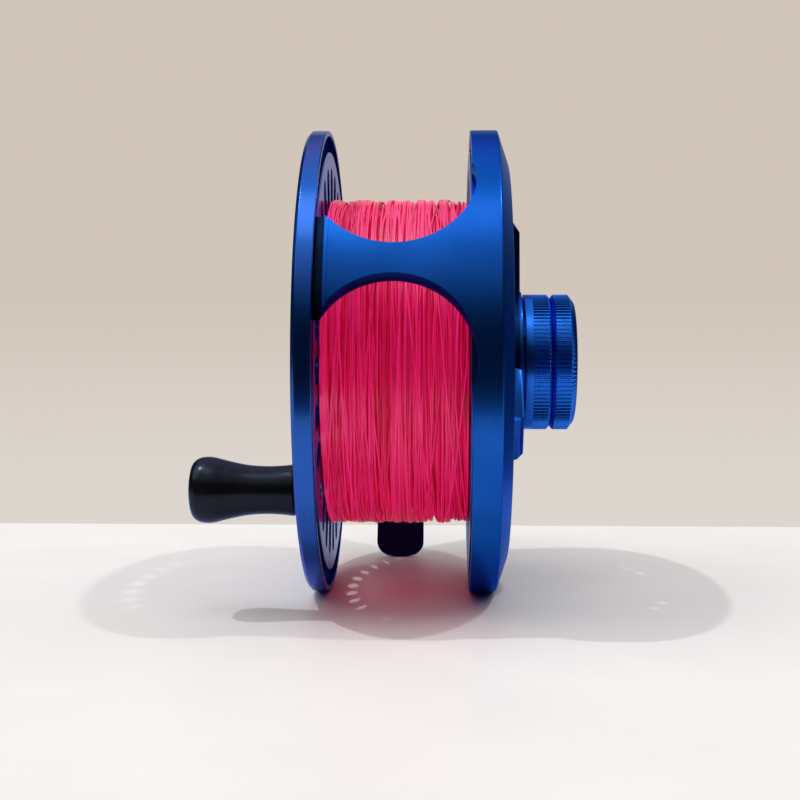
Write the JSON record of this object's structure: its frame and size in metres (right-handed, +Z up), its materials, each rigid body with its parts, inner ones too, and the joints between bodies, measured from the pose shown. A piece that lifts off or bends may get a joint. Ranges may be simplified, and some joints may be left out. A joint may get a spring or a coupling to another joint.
{
  "type": "fly fishing reel",
  "caption": "Large-arbor fly fishing reel with an open cage, palming-rim spool wound with line, crank handle, disc-drag knob and a foot for the rod.",
  "frame": {"origin": "on the surface the reel stands on, at the middle of its bounding box", "axes": "+X along the spool's axis from the handle side to the drag knob side, +Y back towards the reel foot, +Z up"},
  "size_m": [0.0786, 0.1138, 0.1],
  "materials": {
    "blue_anodised": "satin blue anodised, fine turned texture",
    "black_anodised": "satin black anodised",
    "steel": "bright turned stainless steel",
    "bronze": "plain bronze",
    "carbon_disc": "matt carbon composite",
    "rubber": "matt black",
    "line": "bright pink monofilament, slightly translucent"
  },
  "bodies": {
    "frame": {"frame": "blue_anodised", "reel_foot": "blue_anodised", "foot_screw_1": "steel", "foot_screw_2": "steel", "spindle": "steel", "drag_cover": "blue_anodised", "drag_seal": "rubber", "backing_plate": "steel", "drag_disc_inner": "carbon_disc", "drag_disc_outer": "carbon_disc", "pressure_plate": "steel", "push_pin_1": "steel", "push_pin_2": "steel", "push_pin_3": "steel", "thrust_ring": "steel", "drag_spring": "steel", "knob_seal": "rubber", "detent_spring": "steel"},
    "bearing_core": {"inner_race_front": "steel", "inner_race_rear": "steel", "inner_spacer": "steel"},
    "cage_front": {"ball_cage_front": "steel"},
    "cage_rear": {"ball_cage_rear": "steel"},
    "spool": {"spool": "blue_anodised", "line_pack": "line", "spool_cap": "blue_anodised", "snap_ring": "rubber", "outer_race_front": "steel", "outer_race_rear": "steel", "outer_spacer": "blue_anodised", "clutch_shell": "steel", "clutch_rollers": "steel", "handle_post": "steel", "counterweight": "steel", "counterweight_screw": "steel"},
    "handle": {"handle_grip": "black_anodised", "handle_bush": "bronze", "handle_plug": "black_anodised"},
    "drag_rotor": {"drag_rotor": "steel", "rotor_bush": "bronze"},
    "drag_knob": {"drag_knob": "blue_anodised", "knob_cap": "blue_anodised"},
    "drag_nut": {"drag_nut": "bronze"},
    "detent_ball": {"detent_ball": "steel"}
  },
  "joints": [
    {"name": "spool_off", "type": "slide", "parent": "frame", "child": "bearing_core", "axis": [-1, 0, 0], "range_m": [0, 0.06]},
    {"name": "spool_spin", "type": "hinge", "parent": "bearing_core", "child": "spool", "pos_m": [0.0015, -0.00686, 0.05], "axis": [1, 0, 0], "continuous": true},
    {"name": "cage_front_spin", "type": "hinge", "parent": "bearing_core", "child": "cage_front", "pos_m": [0.0015, -0.00686, 0.05], "axis": [1, 0, 0], "continuous": true},
    {"name": "cage_rear_spin", "type": "hinge", "parent": "bearing_core", "child": "cage_rear", "pos_m": [0.0015, -0.00686, 0.05], "axis": [1, 0, 0], "continuous": true},
    {"name": "handle_spin", "type": "hinge", "parent": "spool", "child": "handle", "pos_m": [-0.029, -0.03687, 0.02526], "axis": [1, 0, 0], "continuous": true},
    {"name": "rotor_spin", "type": "hinge", "parent": "frame", "child": "drag_rotor", "pos_m": [0.0015, -0.00686, 0.05], "axis": [1, 0, 0], "continuous": true},
    {"name": "drag_turn", "type": "hinge", "parent": "frame", "child": "drag_knob", "pos_m": [0.0015, -0.00686, 0.05], "axis": [-1, 0, 0], "range_deg": [0, 300]},
    {"name": "nut_travel", "type": "slide", "parent": "drag_knob", "child": "drag_nut", "axis": [-1, 0, 0], "range_m": [0, 0.00085]},
    {"name": "detent_press", "type": "slide", "parent": "frame", "child": "detent_ball", "axis": [-1, 0, 0], "range_m": [0, 0.0003], "stiffness_N_per_m": 300}
  ],
  "couplings": [
    {"joint": "cage_front_spin", "follows": "spool_spin", "ratio": 0.5896},
    {"joint": "cage_rear_spin", "follows": "spool_spin", "ratio": 0.5896},
    {"joint": "rotor_spin", "follows": "spool_spin", "ratio": 1},
    {"joint": "nut_travel", "follows": "drag_turn", "m_per_rad": 0.00015915}
  ]
}
